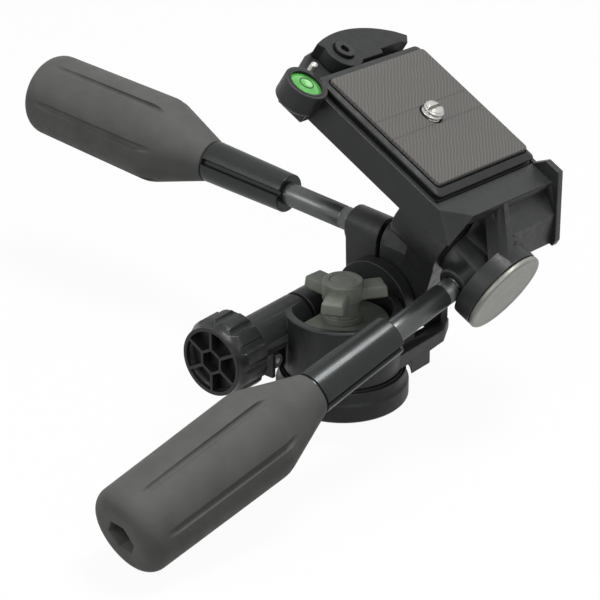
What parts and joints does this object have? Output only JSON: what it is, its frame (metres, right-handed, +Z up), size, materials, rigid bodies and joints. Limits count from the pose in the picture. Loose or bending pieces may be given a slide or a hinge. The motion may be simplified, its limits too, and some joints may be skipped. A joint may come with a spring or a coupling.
{
  "type": "three way pan tilt head",
  "caption": "Photo tripod head with a panning base, two handles that clamp the front and side tilts, a lock knob, a wing knob and a quick release plate with a spirit level.",
  "frame": {"origin": "pan axis at the underside of the base, where the tripod's thread enters", "axes": "+Z up along the pan axis; the tilt axis runs along X; the platform's front and the tilt nose point to -Y at rest"},
  "size_m": [0.1604, 0.183, 0.1022],
  "materials": {
    "black_casting": "satin",
    "black_plastic": "fine grain",
    "grip_rubber": "matte",
    "pad_rubber": "fine weave",
    "steel": "satin",
    "dark_steel": "satin",
    "brass": "machined",
    "knob_plastic": "fine grain",
    "cover_plate": "satin",
    "washer_plastic": "smooth",
    "level_glass": "clear green"
  },
  "bodies": {
    "base": {"pan_base": "black_casting", "tripod_thread_insert": "brass", "pan_spindle": "steel", "pan_friction_ring": "washer_plastic"},
    "pan": {"pan_body": "black_casting", "tilt_shaft": "steel", "clamp_stop_screw": "steel", "pan_lock_nut": "steel", "wing_thrust_washer": "knob_plastic"},
    "pan_lock": {"pan_lock_knob": "black_plastic", "pan_lock_screw": "steel"},
    "pan_drag": {"pan_wing_knob": "knob_plastic"},
    "tilt": {"tilt_body": "black_casting", "tilt_friction_washers": "washer_plastic", "tilt_clamp_nut": "steel", "side_tilt_shaft": "steel", "side_tilt_nut": "steel", "side_tilt_washers": "washer_plastic"},
    "rear_handle": {"rear_handle_rod": "dark_steel", "rear_handle_sleeve": "dark_steel", "rear_handle_grip": "grip_rubber"},
    "platform": {"platform_bracket": "black_casting", "side_tilt_cover": "cover_plate", "side_clamp_shoe": "brass", "level_bezel": "black_plastic", "level_vial": "level_glass", "lever_pivot_screw": "dark_steel", "lever_spring": "steel", "plate_stop_pin": "steel"},
    "front_handle": {"front_handle_rod": "dark_steel", "front_handle_sleeve": "dark_steel", "front_handle_grip": "grip_rubber"},
    "lever": {"release_lever": "black_plastic"},
    "plate": {"quick_plate": "black_plastic", "quick_plate_pad": "pad_rubber"},
    "camera": {"camera_screw": "steel", "camera_screw_clip": "steel"}
  },
  "joints": [
    {"name": "pan", "type": "hinge", "parent": "base", "child": "pan", "pos_m": [0, 0, 0], "axis": [0, 0, 1], "continuous": true},
    {"name": "pan_drag_turn", "type": "hinge", "parent": "base", "child": "pan_drag", "pos_m": [0, 0, 0.03], "axis": [0, 0, 1], "range_deg": [0, 360]},
    {"name": "pan_lock_turn", "type": "hinge", "parent": "pan", "child": "pan_lock", "pos_m": [-0.0402, 0.0139, 0.0215], "axis": [-1, 0, 0], "range_deg": [0, 270]},
    {"name": "tilt", "type": "hinge", "parent": "pan", "child": "tilt", "pos_m": [0.0244, 0.001, 0.0225], "axis": [1, 0, 0], "range_deg": [-53.7, 46.3]},
    {"name": "rear_handle_turn", "type": "hinge", "parent": "tilt", "child": "rear_handle", "pos_m": [0.0244, 0.01518, 0.04006], "axis": [0, 0.9974, 0.0715], "range_deg": [0, 270]},
    {"name": "side_tilt", "type": "hinge", "parent": "tilt", "child": "platform", "pos_m": [0.0216, -0.04007, 0.03547], "axis": [0, 0.8771, 0.4802], "range_deg": [-12, 82.1]},
    {"name": "front_handle_turn", "type": "hinge", "parent": "platform", "child": "front_handle", "pos_m": [0.01129, -0.02909, 0.0378], "axis": [-0.9542, 0.1436, -0.2623], "range_deg": [0, 270]},
    {"name": "lever_swing", "type": "hinge", "parent": "platform", "child": "lever", "pos_m": [0.02296, 0.01926, 0.09076], "axis": [0.1374, -0.4757, 0.8688], "range_deg": [0, 75], "stiffness_Nm_per_rad": 0.004, "springref_deg": -17.19},
    {"name": "plate_lift", "type": "slide", "parent": "platform", "child": "plate", "axis": [0.1374, -0.4757, 0.8688], "range_m": [0, 0.015]},
    {"name": "camera_screw_turn", "type": "hinge", "parent": "plate", "child": "camera", "pos_m": [0.02506, -0.01057, 0.08008], "axis": [0.1374, -0.4757, 0.8688], "continuous": true}
  ]
}
